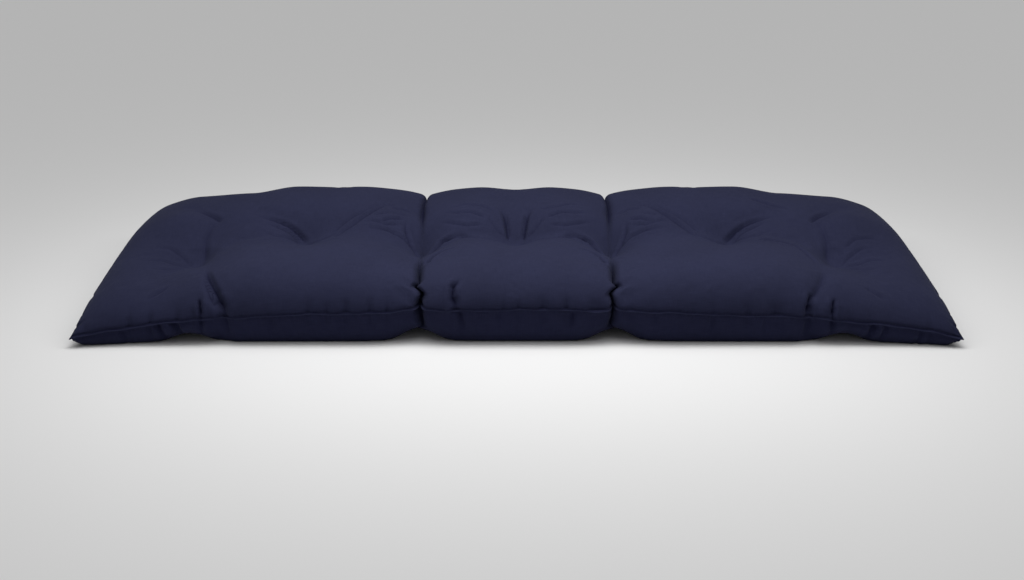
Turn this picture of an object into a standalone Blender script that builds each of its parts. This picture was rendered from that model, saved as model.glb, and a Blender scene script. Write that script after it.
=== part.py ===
"""Filled bench cushion: a top panel and a bottom panel of cloth, sewn round one rim seam.

Two deep dividers part the fill into three sections, and a row of seven tufts runs along the middle.
Metres, +Z up, +X along the bench, -Y towards its front edge. The cushion lies on the plane z = 0,
and the origin is the middle of its base.
"""

import bmesh
import bpy
import numpy as np

NAME = "bench_cushion"

# The rim seam, seen from above
HALF_LENGTH = 0.738
HALF_DEPTH = 0.249
EAR_LENGTH = 0.006        # how far a corner tip stands out along X
EAR_LENGTH_CURVE = 8      # the higher the power, the shorter the tip
EAR_DEPTH = 0.014         # how far it stands out along Y
EAR_DEPTH_CURVE = 9

# The rim seam's height above the base
RIM_HEIGHT = 0.057
RIM_RISE_MIDDLE = 0.006   # the middle section's seam lies a little higher
RIM_MIDDLE_REACH = 0.26   # over this share of half the length
RIM_DROP_SIDE = 0.012     # the seam comes down towards the sides
RIM_SIDE_CURVE = 3.5
RIM_DROP_CORNER = 0.028   # and further down at the corner tips
RIM_CORNER_CURVE = 3

# The dividers between the three sections: they open slightly towards the back
DIVIDER_X = 0.1735
DIVIDER_SPREAD = 0.0105
DIVIDER_BEND = -0.006     # the slit's back end turns inwards, where one pillow laps the other
DIVIDER_BEND_OVER = (0.50, 0.86)   # between these shares of half the depth
DIVIDER_SHARE = DIVIDER_X / HALF_LENGTH

# How far in from the rim each panel is still rounding, and how squarely it turns
TOP_ROUND_FRONT = 0.100
TOP_ROUND_BACK = 0.088
TOP_ROUND_SIDE_FRONT = 0.118
TOP_ROUND_SIDE_BACK = 0.058
TOP_ROUND_CHANGE = (-0.2, 0.2)        # front gives way to back between these shares of half the depth
TOP_ROUND_SIDE_CHANGE = (-0.7, -0.1)
ELLIPSE = 2
TOP_SQUARENESS = 2.7      # a little squarer than an ellipse
BASE_ROUND = 0.030
BASE_BELLY = 0.012        # fill pressed flat by the surface under it

# Height of the fill above the rim, at places along X, in front of and behind the tuft row
FRONT, BACK = 1, 2
CROWN_CHANGE = (-0.07, 0.07)   # front gives way to back between these places along Y
CROWN = (
    # x, front, back
    (0.000, 0.055, 0.071),
    (0.068, 0.057, 0.076),
    (0.170, 0.053, 0.071),
    (0.320, 0.064, 0.085),
    (0.430, 0.066, 0.088),
    (0.520, 0.054, 0.077),
    (0.620, 0.039, 0.075),
    (0.760, 0.042, 0.049),
)

# The tuft row: each pulls the top panel down and the bottom panel up
TOP_PULL, BASE_PULL = 2, 3
TUFTS = (
    # x, y, top_pull, base_pull, reach_x, reach_y
    (0.000, 0.002, 0.022, 0.020, 0.040, 0.050),
    (0.174, -0.012, 0.034, 0.018, 0.030, 0.064),
    (0.389, 0.000, 0.028, 0.020, 0.040, 0.052),
    (0.574, -0.074, 0.023, 0.018, 0.036, 0.050),
)
TUFT_BLUNT = 0.2          # rounds off the bottom of each pull
VALLEY_DEPTH = 0.015      # the tufts draw down a shallow valley between them
VALLEY_REACH = 0.055
VALLEY_ENDS = (0.47, 0.60)   # it levels out between these places along X

# Soft folds that run out from the tufts, the same on both sides
FOLDS = (
    # x_1, y_1, x_2, y_2, depth_1, depth_2, reach
    (0.572, -0.040, 0.530, -0.160, 0.008, 0.006, 0.020),
    (0.530, -0.160, 0.487, -0.262, 0.006, 0.007, 0.013),
    (0.572, -0.040, 0.556, 0.046, 0.005, 0.006, 0.024),
    (0.556, 0.046, 0.620, 0.104, 0.007, 0.004, 0.022),
    (0.395, 0.006, 0.424, 0.032, 0.008, 0.007, 0.014),
    (0.424, 0.032, 0.480, 0.060, 0.007, 0.003, 0.018),
    (0.380, 0.006, 0.330, 0.020, 0.004, 0.006, 0.024),
    (0.330, 0.020, 0.250, 0.098, 0.006, 0.006, 0.026),
    (0.250, 0.098, 0.190, 0.092, 0.006, 0.004, 0.024),
    (0.160, -0.040, 0.104, -0.004, 0.006, 0.006, 0.016),
    (0.104, -0.004, 0.006, 0.002, 0.006, 0.006, 0.018),
    (0.014, 0.006, 0.021, 0.075, 0.005, 0.003, 0.012),
)

# The dividers' rounded shoulders and the slit between them
SHOULDER_DROP = 0.009
SHOULDER_REACH = 0.060
SHOULDER_DRAW = 0.008     # how far the shoulders draw the rim in
SHOULDER_DRAW_REACH = 0.030
SLIT_DEPTH = 0.034
SLIT_BACK_SHARE = 0.34    # behind the tuft row it is shallower
SLIT_ROUND = 0.012        # its sides round over and meet, as two pillows do
SLIT_FRONT = (-0.66, -0.40)   # it fades out between these shares of half the depth
SLIT_BACK = (0.06, 0.44)      # and comes back between these
SLIT_TURN = 0.090         # it cuts in level at the rim and straight down from here on

# The bottom panel's lift at the dividers and at the end folds
BASE_RIDGES = (
    # x, lift, reach
    (0.1735, 0.027, 0.046),
    (0.562, 0.023, 0.046),
)
BASE_SLIT_SHARE = 0.35    # the slit and the folds are shallower there, past this far from the rim
BASE_SLIT_REACH = 0.020

# The mesh: how many squares lie between each place and the one before it, from the middle outwards
COLUMN_ZONES = (
    # ends_at_x, columns
    (0.1550, 10),
    (0.1675, 2),
    (0.1735, 2),
    (0.1795, 2),
    (0.1920, 2),
    (0.6400, 29),
    (0.7380, 8),
)
ROW_ZONES = (
    # ends_at_y, rows
    (0.165, 9),
    (0.225, 5),
    (0.249, 4),
)
WELD = 1e-5
FLAT = 1e-4
PRESSED_FLAT = 4e-4       # cloth nearer the surface under it than this lies on it
FLAT_ANGLE = 0.001
NEAR = 1e-4
TINY = 1e-12
PLACE_DIGITS = 6

CLOTH_COLOUR = (0.030, 0.033, 0.070, 1.0)
CLOTH_ROUGHNESS = 0.85


def bell(away, reach):
    """1 at the middle, fading smoothly to 0 a few reaches away."""
    return np.exp(-((away / reach) ** 2))


def rounded(away, reach, squareness):
    """0 at the edge, rising steeply at first, level at 1 from reach on."""
    left = 1 - np.clip(away / reach, 0, 1)
    return np.sqrt(1 - left**squareness)


def smooth_step(value, start, end):
    share = np.clip((value - start) / (end - start), 0, 1)
    return share * share * (3 - 2 * share)


def eased(value, ends, first, last):
    """From first to last as the value passes from one end to the other."""
    return first + smooth_step(value, *ends) * (last - first)


def along_table(x, table, column):
    """A column of a table whose first column is x, eased from row to row."""
    result = np.full_like(x, table[0][column])
    for row, following in zip(table, table[1:]):
        share = smooth_step(x, row[0], following[0])
        result = result + share * (following[column] - row[column])
    return result


def divider_x(t):
    return DIVIDER_X + DIVIDER_SPREAD * t + DIVIDER_BEND * smooth_step(t, *DIVIDER_BEND_OVER)


def side_x(t):
    """Half of the rim's length at t, from -1 at the front edge to 1 at the back edge."""
    return HALF_LENGTH + EAR_LENGTH * np.abs(t) ** EAR_LENGTH_CURVE


def edge_y(s, x):
    """Half of the rim's depth at s, from 0 in the middle to 1 at the sides."""
    divider = SHOULDER_DRAW * bell(np.abs(x) - DIVIDER_X, SHOULDER_DRAW_REACH)
    return HALF_DEPTH + EAR_DEPTH * np.abs(s) ** EAR_DEPTH_CURVE - divider


def plan(s, t):
    """Where the panels' square, -1 to 1 both ways, lies seen from above."""
    share = np.abs(s)
    inner = share / DIVIDER_SHARE * divider_x(t)
    outer_share = (share - DIVIDER_SHARE) / (1 - DIVIDER_SHARE)
    outer = divider_x(t) + outer_share * (side_x(t) - divider_x(t))
    x = np.where(share <= DIVIDER_SHARE, inner, outer) * np.sign(s)
    return x, t * edge_y(s, x)


def rim_height(s, t):
    side = np.abs(s) ** RIM_SIDE_CURVE
    middle = RIM_RISE_MIDDLE * bell(s, RIM_MIDDLE_REACH)
    corner = np.abs(t) ** RIM_CORNER_CURVE
    return RIM_HEIGHT + middle - side * (RIM_DROP_SIDE + RIM_DROP_CORNER * corner)


def tuft_pull(x, y, column):
    """How far the tufts pull a panel in, from one column of their table."""
    pull = np.zeros_like(x)
    for tuft in TUFTS:
        away = np.hypot((np.abs(x) - tuft[0]) / tuft[4], (y - tuft[1]) / tuft[5])
        pull = np.maximum(pull, tuft[column] * np.exp(TUFT_BLUNT - np.hypot(away, TUFT_BLUNT)))
    return pull


def fold_depth(x, y):
    """How far the soft folds pull the top panel in."""
    depth = np.zeros_like(x)
    x = np.abs(x)
    for x_1, y_1, x_2, y_2, depth_1, depth_2, reach in FOLDS:
        length_2 = (x_2 - x_1) ** 2 + (y_2 - y_1) ** 2
        share = np.clip(((x - x_1) * (x_2 - x_1) + (y - y_1) * (y_2 - y_1)) / length_2, 0, 1)
        away = np.hypot(x - x_1 - share * (x_2 - x_1), y - y_1 - share * (y_2 - y_1))
        depth = np.maximum(depth, (depth_1 + share * (depth_2 - depth_1)) * bell(away, reach))
    return depth


def slit_depth(t, x):
    """How deep the divider's slit is cut in."""
    front = 1 - smooth_step(t, *SLIT_FRONT)
    back = SLIT_BACK_SHARE * smooth_step(t, *SLIT_BACK)
    from_divider = np.abs(np.abs(x) - divider_x(t))
    return SLIT_DEPTH * (front + back) * (1 - rounded(from_divider, SLIT_ROUND, ELLIPSE))


def slit_direction(t):
    """Which way the top panel's slit cuts in."""
    from_edge = HALF_DEPTH * (1 - np.abs(t))
    turn = np.clip(from_edge / SLIT_TURN, 0, 1) * np.pi / 2
    return np.stack([0 * t, -np.sign(t) * np.cos(turn), -np.sin(turn)], axis=-1)


def top_panel(s, t):
    x, y = plan(s, t)
    from_side = side_x(t) * (1 - np.abs(s))
    from_edge = edge_y(s, x) * (1 - np.abs(t))
    behind = smooth_step(y, *CROWN_CHANGE)
    front_crown = along_table(np.abs(x), CROWN, FRONT)
    back_crown = along_table(np.abs(x), CROWN, BACK)
    crown = front_crown + behind * (back_crown - front_crown)
    crown = crown - VALLEY_DEPTH * bell(y, VALLEY_REACH) * (1 - smooth_step(np.abs(x), *VALLEY_ENDS))
    from_divider = np.abs(np.abs(x) - divider_x(t))
    crown = crown - SHOULDER_DROP * (1 - rounded(from_divider, SHOULDER_REACH, ELLIPSE))
    crown = crown - tuft_pull(x, y, TOP_PULL)
    round_y = eased(t, TOP_ROUND_CHANGE, TOP_ROUND_FRONT, TOP_ROUND_BACK)
    round_x = eased(t, TOP_ROUND_SIDE_CHANGE, TOP_ROUND_SIDE_FRONT, TOP_ROUND_SIDE_BACK)
    rise = rounded(from_edge, round_y, TOP_SQUARENESS) * rounded(from_side, round_x, TOP_SQUARENESS)
    return np.stack([x, y, rim_height(s, t) + crown * rise], axis=-1)


def base_panel(s, t):
    x, y = plan(s, t)
    rim = rim_height(s, t)
    from_side = side_x(t) * (1 - np.abs(s))
    from_edge = edge_y(s, x) * (1 - np.abs(t))
    rise = rounded(from_edge, BASE_ROUND, ELLIPSE) * rounded(from_side, BASE_ROUND, ELLIPSE)
    lift = tuft_pull(x, y, BASE_PULL)
    for ridge_x, height, reach in BASE_RIDGES:
        lift = np.maximum(lift, height * bell(np.abs(x) - ridge_x - DIVIDER_SPREAD * t, reach))
    return np.stack([x, y, rim + (lift - rim - BASE_BELLY) * rise], axis=-1)


def inward(form, s, t):
    """Unit normals of a panel, pointing into the fill."""
    along = form(np.clip(s + NEAR, -1, 1), t) - form(np.clip(s - NEAR, -1, 1), t)
    across = form(s, np.clip(t + NEAR, -1, 1)) - form(s, np.clip(t - NEAR, -1, 1))
    normal = np.cross(along, across)
    length = np.linalg.norm(normal, axis=-1, keepdims=True)
    return -normal / np.maximum(length, TINY)


def shaped(s, t, top):
    """The panel's finished shape: its form with the folds and the slits drawn in."""
    if top:
        points = top_panel(s, t)
        normal = inward(top_panel, s, t)
    else:
        points = base_panel(s, t)
        normal = -inward(base_panel, s, t)
    x, y = points[..., 0], points[..., 1]
    normal[np.abs(s) > 1 - FLAT] = 0
    long_edge = np.abs(t) > 1 - FLAT
    normal[long_edge] = np.stack([0 * t, -np.sign(t), 0 * t], axis=-1)[long_edge]
    from_edge = HALF_DEPTH * (1 - np.abs(t))
    slit = slit_depth(t, x)
    fold = fold_depth(x, y)
    direction = slit_direction(t)
    if not top:
        share = eased(from_edge, (0, BASE_SLIT_REACH), 1, BASE_SLIT_SHARE) * bell(from_edge, BASE_ROUND)
        slit = slit * share
        fold = fold * share
        direction[..., 2] = -direction[..., 2]
    points = points + slit[..., None] * direction + fold[..., None] * normal
    points[points[..., 2] < PRESSED_FLAT, 2] = 0
    return points


def zone_places(zones):
    """Where each line of the grid lies, from 0 in the middle to 1 at the rim."""
    places = [0.0]
    for ends_at, squares in zones:
        start = places[-1]
        for number in range(1, squares + 1):
            places.append(start + (ends_at / zones[-1][0] - start) * number / squares)
    return np.array(places)


def zone_place(share, zones):
    """The place of a grid line that an even grid would have at share, from -1 to 1."""
    places = zone_places(zones)
    even = np.linspace(0, 1, len(places))
    return np.round(np.sign(share) * np.interp(np.abs(share), even, places), PLACE_DIGITS)


def add_panel(bm, top):
    """A flat square grid of cloth, moved to the shape that the fill gives it."""
    columns = 2 * sum(zone[1] for zone in COLUMN_ZONES)
    rows = 2 * sum(zone[1] for zone in ROW_ZONES)
    grid = bmesh.ops.create_grid(bm, x_segments=columns, y_segments=rows, size=1)
    verts = grid["verts"]
    flat = np.array([v.co for v in verts])
    points = shaped(zone_place(flat[:, 0], COLUMN_ZONES), zone_place(flat[:, 1], ROW_ZONES), top)
    for vert, point in zip(verts, points):
        vert.co = point
    if not top:
        faces = list({face for vert in verts for face in vert.link_faces})
        bmesh.ops.reverse_faces(bm, faces=faces)


def join_flat_base(bm):
    """Few large faces where the bottom panel lies flat, in place of many small ones."""
    verts = [v for v in bm.verts if v.co.z < FLAT]
    edges = [e for e in bm.edges if all(v.co.z < FLAT for v in e.verts)]
    bmesh.ops.dissolve_limit(bm, angle_limit=FLAT_ANGLE, verts=verts, edges=edges)
    joined = [f for f in bm.faces if len(f.verts) > 4]
    bmesh.ops.triangulate(bm, faces=joined, ngon_method="BEAUTY")


def clear_scene():
    for obj in list(bpy.data.objects):
        bpy.data.objects.remove(obj)


def cloth_material():
    material = bpy.data.materials.new("navy_cloth")
    material.use_nodes = True
    shader = material.node_tree.nodes["Principled BSDF"]
    shader.inputs["Base Color"].default_value = CLOTH_COLOUR
    shader.inputs["Roughness"].default_value = CLOTH_ROUGHNESS
    shader.inputs["Metallic"].default_value = 0.0
    return material


def make_cushion(collection):
    bm = bmesh.new()
    add_panel(bm, top=True)
    add_panel(bm, top=False)
    bmesh.ops.remove_doubles(bm, verts=bm.verts, dist=WELD)
    join_flat_base(bm)
    mesh = bpy.data.meshes.new("cushion")
    bm.to_mesh(mesh)
    bm.free()
    mesh.materials.append(cloth_material())
    mesh.shade_smooth()
    cushion = bpy.data.objects.new("cushion", mesh)
    collection.objects.link(cushion)
    return cushion


def main():
    clear_scene()
    collection = bpy.data.collections.new(NAME)
    bpy.context.scene.collection.children.link(collection)
    make_cushion(collection)


main()
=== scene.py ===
"""Looks of the bench cushion: its cloth, creases, seam and weave, with a floor, lights and a camera.

The cloth is laid out as two cut panels. Their form repeats the CAD solid's named sizes on a finer
grid, a cloth simulation then lets the top panel swell and crease between its seams and tufts, and
the photograph's own creases are pressed in by a short table.
"""

import math

import bmesh
import bpy
import numpy as np
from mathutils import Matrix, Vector


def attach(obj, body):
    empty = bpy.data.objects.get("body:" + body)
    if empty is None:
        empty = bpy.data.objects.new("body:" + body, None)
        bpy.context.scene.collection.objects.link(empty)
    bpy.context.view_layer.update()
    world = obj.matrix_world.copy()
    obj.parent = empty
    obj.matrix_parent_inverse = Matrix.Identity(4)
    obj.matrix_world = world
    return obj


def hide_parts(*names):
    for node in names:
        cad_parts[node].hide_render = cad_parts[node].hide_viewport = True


# The rim seam, seen from above
HALF_LENGTH = 0.738
HALF_DEPTH = 0.249
EAR_LENGTH = 0.006
EAR_LENGTH_CURVE = 8
EAR_DEPTH = 0.014
EAR_DEPTH_CURVE = 9

# The rim seam's height above the base
RIM_HEIGHT = 0.057
RIM_RISE_MIDDLE = 0.006
RIM_MIDDLE_REACH = 0.26
RIM_DROP_SIDE = 0.012
RIM_SIDE_CURVE = 3.5
RIM_DROP_CORNER = 0.028
RIM_CORNER_CURVE = 3

# The dividers between the three sections
DIVIDER_X = 0.1735
DIVIDER_SPREAD = 0.0105
DIVIDER_BEND = -0.006     # the slit's back end turns inwards, where one pillow laps the other
DIVIDER_BEND_OVER = (0.50, 0.86)
DIVIDER_JOG = 0.006       # near the front rim one pillow's corner pushes across the slit
JOG_PLACE = -0.90
JOG_REACH = 0.030
DIVIDER_SHARE = DIVIDER_X / HALF_LENGTH

# How far in from the rim each panel is still rounding, and how squarely it turns
TOP_ROUND_FRONT = 0.100
TOP_ROUND_BACK = 0.088
TOP_ROUND_SIDE_FRONT = 0.118
TOP_ROUND_SIDE_BACK = 0.058
TOP_ROUND_CHANGE = (-0.2, 0.2)
TOP_ROUND_SIDE_CHANGE = (-0.7, -0.1)
ELLIPSE = 2
TOP_SQUARENESS = 2.7
BASE_ROUND = 0.030
BASE_BELLY = 0.012

# Height of the fill above the rim, in front of and behind the tuft row
FRONT, BACK = 1, 2
CROWN_CHANGE = (-0.07, 0.07)
CROWN = (
    # x, front, back
    (0.000, 0.055, 0.071),
    (0.068, 0.057, 0.076),
    (0.170, 0.053, 0.071),
    (0.320, 0.064, 0.085),
    (0.430, 0.066, 0.088),
    (0.520, 0.054, 0.077),
    (0.620, 0.039, 0.075),
    (0.760, 0.042, 0.049),
)

# The tuft row
TOP_PULL, BASE_PULL = 2, 3
TUFTS = (
    # x, y, top_pull, base_pull, reach_x, reach_y
    (0.000, 0.002, 0.022, 0.020, 0.040, 0.050),
    (0.174, -0.012, 0.034, 0.018, 0.030, 0.064),
    (0.389, 0.000, 0.028, 0.020, 0.040, 0.052),
    (0.574, -0.074, 0.023, 0.018, 0.036, 0.050),
)
TUFT_BLUNT = 0.2
VALLEY_DEPTH = 0.015
VALLEY_REACH = 0.055
VALLEY_ENDS = (0.47, 0.60)   # it levels out between these places along X

# Soft folds that run out from the tufts, the same on both sides
FOLDS = (
    # x_1, y_1, x_2, y_2, depth_1, depth_2, reach
    (0.572, -0.040, 0.530, -0.160, 0.008, 0.006, 0.020),
    (0.530, -0.160, 0.487, -0.262, 0.006, 0.007, 0.013),
    (0.572, -0.040, 0.556, 0.046, 0.005, 0.006, 0.024),
    (0.556, 0.046, 0.620, 0.104, 0.007, 0.004, 0.022),
    (0.395, 0.006, 0.424, 0.032, 0.008, 0.007, 0.014),
    (0.424, 0.032, 0.480, 0.060, 0.007, 0.003, 0.018),
    (0.380, 0.006, 0.330, 0.020, 0.004, 0.006, 0.024),
    (0.330, 0.020, 0.250, 0.098, 0.006, 0.006, 0.026),
    (0.250, 0.098, 0.190, 0.092, 0.006, 0.004, 0.024),
    (0.160, -0.040, 0.104, -0.004, 0.006, 0.006, 0.016),
    (0.104, -0.004, 0.006, 0.002, 0.006, 0.006, 0.018),
    (0.014, 0.006, 0.021, 0.075, 0.005, 0.003, 0.012),
)

# The dividers' rounded shoulders and the slit between them
SHOULDER_DROP = 0.009
SHOULDER_REACH = 0.060
SHOULDER_DRAW = 0.008
SHOULDER_DRAW_REACH = 0.030
SLIT_DEPTH = 0.034
SLIT_BACK_SHARE = 0.34    # behind the tuft row it is shallower
SLIT_ROUND = 0.012        # its sides round over and meet, as two pillows do
SLIT_FRONT = (-0.66, -0.40)   # it fades out between these shares of the depth, towards the tuft row
SLIT_BACK = (0.06, 0.44)
SLIT_TURN = 0.090         # it cuts in level at the rim and straight down from here on

# The bottom panel's lift at the dividers and at the end folds
BASE_RIDGES = (
    # x, lift, reach
    (0.1735, 0.027, 0.046),
    (0.562, 0.023, 0.046),
)
BASE_SLIT_SHARE = 0.35
BASE_SLIT_REACH = 0.020

# The coarse grid, in squares from the middle outwards. The fine one halves each square.
# The last zone's squares grow narrower towards the rim, where the cloth rises steeply.
COLUMN_ZONES = (
    # ends_at_x, columns
    (0.1500, 20),
    (0.1735, 6),
    (0.1970, 6),
    (0.6400, 55),
    (0.7240, 11),
    (0.7380, 7),
)
ROW_ZONES = (
    # ends_at_y, rows
    (0.165, 20),
    (0.225, 9),
    (0.240, 4),
    (0.249, 7),
)
BASE_ROWS = (
    # from the middle outwards: the top panel's fine rows to one of these, how many of these
    (5, 8),
    (3, 6),
    (2, 11),
)
FINE = 2                  # squares of the fine grid to one of the coarse grid, each way
WELD = 1e-5
FLAT = 1e-4
PRESSED_FLAT = 4e-4
BASE_CUT_AWAY = 2.0       # metres between the two panels on the cut cloth
NEAR = 1e-4
ON_LINE = 1e-6
TINY = 1e-12

# The cloth simulation
SPARE_SHARE = 0.80        # the cut is longer than this share of the formed cloth's lines
SOFT_HOLD = 0.02          # how firmly the fill holds the cloth's form, where seams and tufts hold it at 1
TUFT_HOLD = 0.005
CLOTH_FRAMES = 25
CLOTH_CAP = 0.014         # no point moves farther than this
CLOTH_SETTINGS = {
    "pin_stiffness": 1.0,
    "quality": 6,
    "mass": 0.15,
    "air_damping": 1.5,
    "tension_stiffness": 25,
    "compression_stiffness": 10,
    "shear_stiffness": 8,
    "bending_stiffness": 0.05,
    "tension_damping": 8,
    "compression_damping": 8,
    "shear_damping": 8,
    "bending_damping": 0.5,
    "use_pressure": True,
    "uniform_pressure_force": 1.0,
}

# Creases pressed into the cloth, seen from above
LIP_SHARE = 0.35          # a lip's height, where the crease's depth is 1
LIP_AWAY = 2.1            # in half widths of the crease, as the next one is
LIP_WIDE = 1.2
CREASE_START = 0.4        # a crease's strength where it starts
CREASE_GROWTH = 0.15      # the share of its length in which its strength would grow by 1
CREASE_FADE = 0.4         # the share of its length in which it fades out
CREASES = (
    # side (0 both, 1 right, -1 left), half width, depth, route
    # from the outer sections' inner tufts
    (0, 0.0034, 0.0052, ((0.390, 0.008), (0.405, 0.020), (0.421, 0.030), (0.448, 0.038), (0.482, 0.050))),
    (0, 0.0028, 0.0040, ((0.398, 0.002), (0.414, 0.014), (0.438, 0.020), (0.464, 0.030))),
    (0, 0.0040, 0.0022, ((0.397, 0.002), (0.442, -0.008), (0.483, 0.016))),
    (0, 0.0045, 0.0036, ((0.388, -0.006), (0.370, -0.008), (0.350, -0.004), (0.330, 0.006))),
    (0, 0.0042, 0.0042, ((0.334, -0.006), (0.304, 0.022), (0.273, 0.059), (0.249, 0.097), (0.222, 0.103))),
    (0, 0.0028, 0.0030, ((0.340, 0.010), (0.318, 0.034), (0.290, 0.058), (0.262, 0.094), (0.244, 0.116))),
    (0, 0.0030, 0.0030, ((0.234, 0.086), (0.212, 0.094), (0.194, 0.082))),
    # wrinkles between those tufts and the dividers
    (0, 0.0033, 0.0048, ((0.180, -0.022), (0.193, 0.000), (0.203, 0.022), (0.208, 0.052))),
    (0, 0.0033, 0.0040, ((0.188, -0.012), (0.208, 0.008), (0.236, 0.014), (0.279, 0.014))),
    (0, 0.0028, 0.0036, ((0.214, 0.054), (0.236, 0.046), (0.262, 0.026))),
    (0, 0.0026, 0.0028, ((0.220, 0.036), (0.242, 0.028), (0.270, 0.034), (0.292, 0.026))),
    (0, 0.0024, 0.0024, ((0.236, 0.066), (0.262, 0.052), (0.284, 0.050))),
    (-1, 0.0026, 0.0024, ((0.206, 0.070), (0.226, 0.066), (0.246, 0.074))),
    # out of the dividers into the middle section
    (0, 0.0040, 0.0095, ((0.168, -0.050), (0.154, -0.026), (0.138, -0.006), (0.103, 0.004))),
    (0, 0.0038, 0.0115,
     ((0.154, -0.140), (0.147, -0.123), (0.139, -0.109), (0.126, -0.094), (0.108, -0.080))),
    (0, 0.0045, 0.0034, ((0.110, 0.000), (0.068, -0.016), (0.029, -0.010), (0.004, 0.002))),
    # the middle section's pleats and wrinkles
    (0, 0.0034, 0.0070, ((0.012, 0.010), (0.017, 0.038), (0.020, 0.056), (0.028, 0.078))),
    (0, 0.0028, 0.0026, ((0.016, 0.008), (0.034, 0.020), (0.048, 0.040), (0.052, 0.060))),
    (0, 0.0032, 0.0034, ((0.060, 0.046), (0.084, 0.058), (0.110, 0.062), (0.138, 0.074))),
    (0, 0.0030, 0.0030, ((0.066, 0.026), (0.092, 0.022), (0.118, 0.034), (0.146, 0.050))),
    (-1, 0.0026, 0.0026, ((0.040, 0.066), (0.064, 0.082), (0.096, 0.090), (0.130, 0.084))),
    (1, 0.0026, 0.0026, ((0.048, 0.074), (0.078, 0.078), (0.102, 0.094), (0.136, 0.100))),
    (-1, 0.0042, 0.0085, ((0.100, -0.248), (0.107, -0.243), (0.106, -0.230), (0.096, -0.220))),
    # the end folds and their puckers
    (0, 0.0042, 0.0046, ((0.553, 0.042), (0.566, 0.056), (0.580, 0.068), (0.604, 0.089))),
    (0, 0.0050, 0.0030, ((0.566, -0.056), (0.570, -0.010), (0.566, 0.020), (0.556, 0.044))),
    (-1, 0.0044, 0.0080,
     ((0.486, -0.248), (0.497, -0.238), (0.511, -0.212), (0.526, -0.178), (0.536, -0.150))),
    (-1, 0.0034, 0.0050, ((0.500, -0.246), (0.511, -0.234), (0.524, -0.208), (0.530, -0.186))),
    (1, 0.0040, 0.0030, ((0.496, -0.236), (0.512, -0.210), (0.530, -0.160))),
    (1, 0.0034, 0.0100, ((0.484, -0.248), (0.488, -0.245), (0.493, -0.229))),
    (0, 0.0028, 0.0095, ((0.526, -0.249), (0.527, -0.244), (0.529, -0.234))),
    (0, 0.0038, 0.0030, ((0.584, -0.084), (0.606, -0.084), (0.632, -0.074), (0.664, -0.084))),
    (0, 0.0032, 0.0026, ((0.582, -0.072), (0.600, -0.056), (0.626, -0.036), (0.656, -0.030))),
    (0, 0.0032, 0.0024, ((0.586, -0.096), (0.610, -0.110), (0.642, -0.114))),
    (1, 0.0030, 0.0024, ((0.600, -0.030), (0.622, -0.010), (0.654, -0.004), (0.676, -0.014))),
    (0, 0.0038, 0.0024, ((0.592, -0.200), (0.606, -0.212), (0.622, -0.224))),
    (1, 0.0040, 0.0046,
     ((0.446, -0.026), (0.477, -0.038), (0.503, -0.052), (0.516, -0.092), (0.526, -0.138))),
    (1, 0.0038, 0.0030, ((0.451, 0.104), (0.483, 0.089), (0.519, 0.077))),
)
BASE_CREASES = (
    # x, lean, half width, depth: folds from the seam down the front of the bottom panel
    (-0.658, 0.006, 0.0040, 0.0050),
    (-0.599, 0.010, 0.0042, 0.0100),
    (-0.573, 0.014, 0.0042, 0.0100),
    (-0.526, -0.003, 0.0038, 0.0090),
    (-0.486, 0.003, 0.0040, 0.0050),
    (-0.408, -0.004, 0.0040, 0.0030),
    (-0.297, 0.004, 0.0040, 0.0026),
    (-0.094, 0.005, 0.0042, 0.0090),
    (-0.030, 0.006, 0.0038, 0.0036),
    (0.094, -0.003, 0.0042, 0.0080),
    (0.232, 0.004, 0.0040, 0.0030),
    (0.330, -0.004, 0.0040, 0.0026),
    (0.418, -0.005, 0.0040, 0.0036),
    (0.486, -0.002, 0.0040, 0.0050),
    (0.527, 0.002, 0.0038, 0.0100),
    (0.598, -0.012, 0.0042, 0.0100),
    (0.618, -0.010, 0.0038, 0.0070),
    (0.676, -0.006, 0.0040, 0.0050),
)
BASE_CREASE_REACH = 0.040

# Where folds keep the light out, shade is painted into the colour: each DARK is the share of the light that
# is painted away
CREASE_LINE = 0.0022      # half width of the line of painted shade, also pressed in, along the bottom of a crease
CREASE_LINE_REACH = 0.008
CREASE_LINE_PAINTED_SHADE = 0.50
CREASE_LINE_DEPTH = 0.0012
CREASE_LINE_FADE = 1.5    # shallow creases have next to no line
DEEPEST_CREASE = 0.008
CAVITY_DEPTH = 0.006      # from this depth on a crease's painted shade is as dark as it gets
CREASE_PAINTED_SHADE = 0.29
# painted shade in the dividers' slits
SLIT_PAINTED_SHADE = 0.60
SLIT_SHADE_FRONT = 0.4    # less painted shade in front, where the slit's own sides keep most of the light out
SLIT_SHADE_BACK = 1.6
SLIT_SHADE_OVER = (0.18, 0.50)
# painted shade on the top panel beside the rim seam
RIM_PAINTED_SHADE = 0.20
RIM_DARK_REACH = 0.012
BASE_PAINTED_SHADE = 0.36          # painted shade over all of the bottom panel, which lies in the cushion's own shade
FAR = 1.0                 # farther off than any line or seam shows

# The rim seam: a raised ridge, a groove beside it, and puckers where the stitches gather the cloth
RIDGE_RADIUS = 0.0007
RIDGE_SIDES = 8
GROOVE_DEPTH = 0.0022
GROOVE_AWAY = 0.0034
GROOVE_WIDE = 0.0024
PUCKER_DEPTH = 0.0040
PUCKER_FROM = 0.55        # only the crests of the waves above this show as puckers
PUCKER_AWAY = 0.008
PUCKER_REACH = 0.016
PUCKER_PITCH = 0.042
PUCKER_DRIFT = (
    # height, radians to a metre, start: waves that set the puckers at uneven distances
    (2.1, 23.0, 0.0),
    (1.0, 61.0, 1.0),
)
PUCKER_LEAST = 0.25
PUCKER_PATCH = 9.0
PUCKER_PATCH_START = 0.8
RIM_WOBBLE = 0.0009       # the sewn line is never quite straight
WOBBLE_REACH = 0.012
RIM_WAVES = (
    # height, radians to a metre, start
    (1.0, 31.0, 0.0),
    (0.6, 73.0, 1.3),
    (0.5, 127.0, 0.4),
)

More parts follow.
